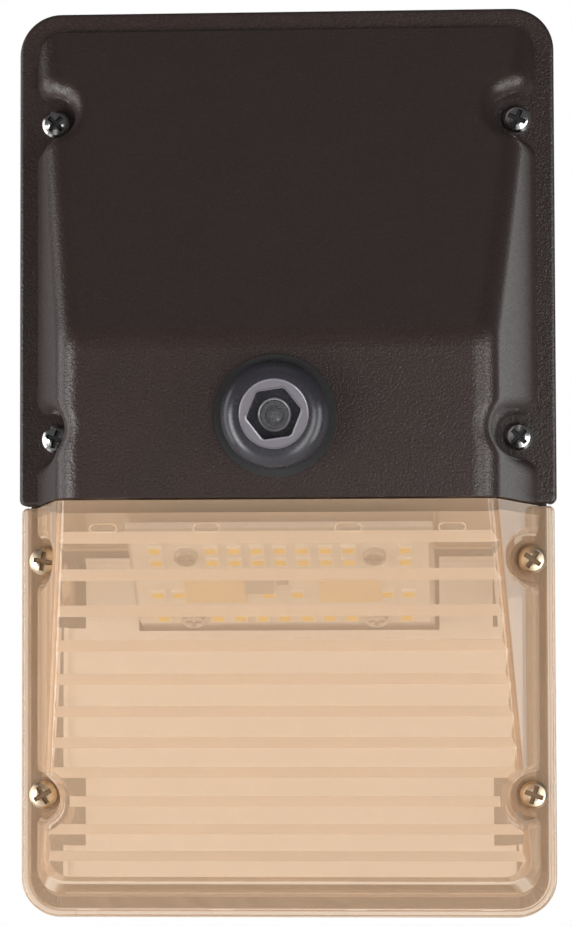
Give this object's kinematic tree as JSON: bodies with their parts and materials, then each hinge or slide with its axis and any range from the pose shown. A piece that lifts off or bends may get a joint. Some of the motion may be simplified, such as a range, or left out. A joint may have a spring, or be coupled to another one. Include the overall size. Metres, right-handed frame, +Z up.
{
  "type": "wall pack light",
  "caption": "Wall pack light: bronze die-cast back box and raised upper cover with a photocell button, clear prismatic lower lens over a tilted LED board.",
  "frame": {"origin": "centre of the back face that lies on the wall", "axes": "+Z up along the tall side, +Y into the wall, +X to the right seen from the front"},
  "size_m": [0.1368, 0.0962, 0.2308],
  "materials": {
    "bronze_casting": "matte",
    "lens_clear": "gloss",
    "silicone_gasket": "matte",
    "steel_screws": "satin",
    "yellow_zinc_screws": "satin",
    "bronze_plugs": "matte",
    "black_rubber": "matte",
    "green_steel": "satin",
    "driver_steel": "satin",
    "black_plastic": "matte",
    "white_plastic": "satin",
    "cast_aluminium": "satin",
    "foam_pads": "matte",
    "grey_pad": "matte",
    "white_board": "matte",
    "led_phosphor": "gloss",
    "dark_chip": "matte",
    "white_painted_sheet": "matte",
    "photocell_plastic": "satin",
    "photocell_clear": "gloss",
    "sensor_red": "gloss",
    "zinc_posts": "satin",
    "zinc_nut": "satin"
  },
  "bodies": {
    "housing": {"back_housing": "bronze_casting", "cover_gasket": "silicone_gasket", "lens_gasket": "silicone_gasket", "conduit_plugs": "bronze_plugs", "plug_seals": "black_rubber", "wire_grommet": "black_rubber", "ground_screw": "green_steel", "driver_case": "driver_steel", "driver_lid": "driver_steel", "driver_screws": "steel_screws", "switch_body": "black_plastic", "led_bracket": "cast_aluminium", "bracket_screws": "steel_screws", "thermal_pad": "grey_pad", "led_board": "white_board", "led_chips": "led_phosphor", "regulators": "dark_chip", "board_connector": "white_plastic", "board_screws": "steel_screws", "reflector": "white_painted_sheet", "tray_posts": "zinc_posts", "reflector_pads": "foam_pads"},
    "cover": {"front_cover": "bronze_casting", "cover_screws": "steel_screws", "photocell_body": "photocell_plastic", "photocell_sensor": "sensor_red", "photocell_window": "photocell_clear", "photocell_seal": "black_rubber", "photocell_nut": "zinc_nut"},
    "lens": {"lens": "lens_clear", "lens_screws": "yellow_zinc_screws"},
    "knob": {"switch_knob": "white_plastic"}
  },
  "joints": [
    {"name": "cover_off", "type": "slide", "parent": "housing", "child": "cover", "axis": [0, -1, 0], "range_m": [0, 0.06]},
    {"name": "lens_off", "type": "slide", "parent": "housing", "child": "lens", "axis": [0, -1, 0], "range_m": [0, 0.06]},
    {"name": "colour_switch", "type": "slide", "parent": "housing", "child": "knob", "axis": [1, 0, 0], "range_m": [-0.003, 0.003]}
  ]
}
